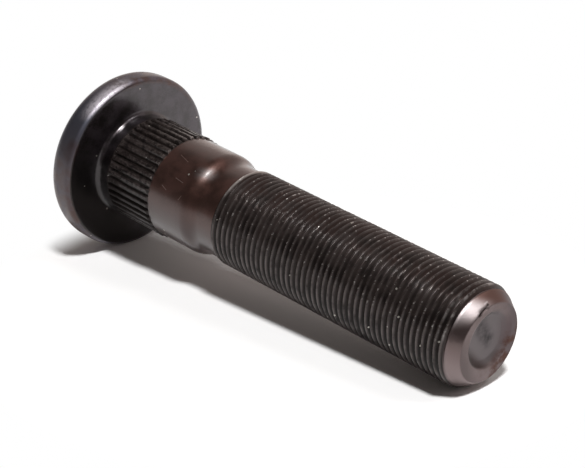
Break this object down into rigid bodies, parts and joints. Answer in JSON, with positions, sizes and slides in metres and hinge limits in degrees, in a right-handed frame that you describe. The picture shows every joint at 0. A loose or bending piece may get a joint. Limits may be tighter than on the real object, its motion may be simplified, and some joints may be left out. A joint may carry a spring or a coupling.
{
  "type": "wheel stud",
  "caption": "Press-in truck wheel stud: round flat head, serrated shank, tapered shoulder, long fine-threaded end with chamfer and shallow end dish.",
  "frame": {"origin": "centre of the head's outer face, on which the stud stands", "axes": "+Z along the stud's axis, from the head to the threaded end; -Y is the side that is uppermost in the picture"},
  "size_m": [0.0408, 0.0408, 0.1129],
  "materials": {
    "black_oxide_steel": "black oxide, oiled"
  },
  "bodies": {
    "root": {"wheel_stud": "black_oxide_steel"}
  },
  "joints": []
}
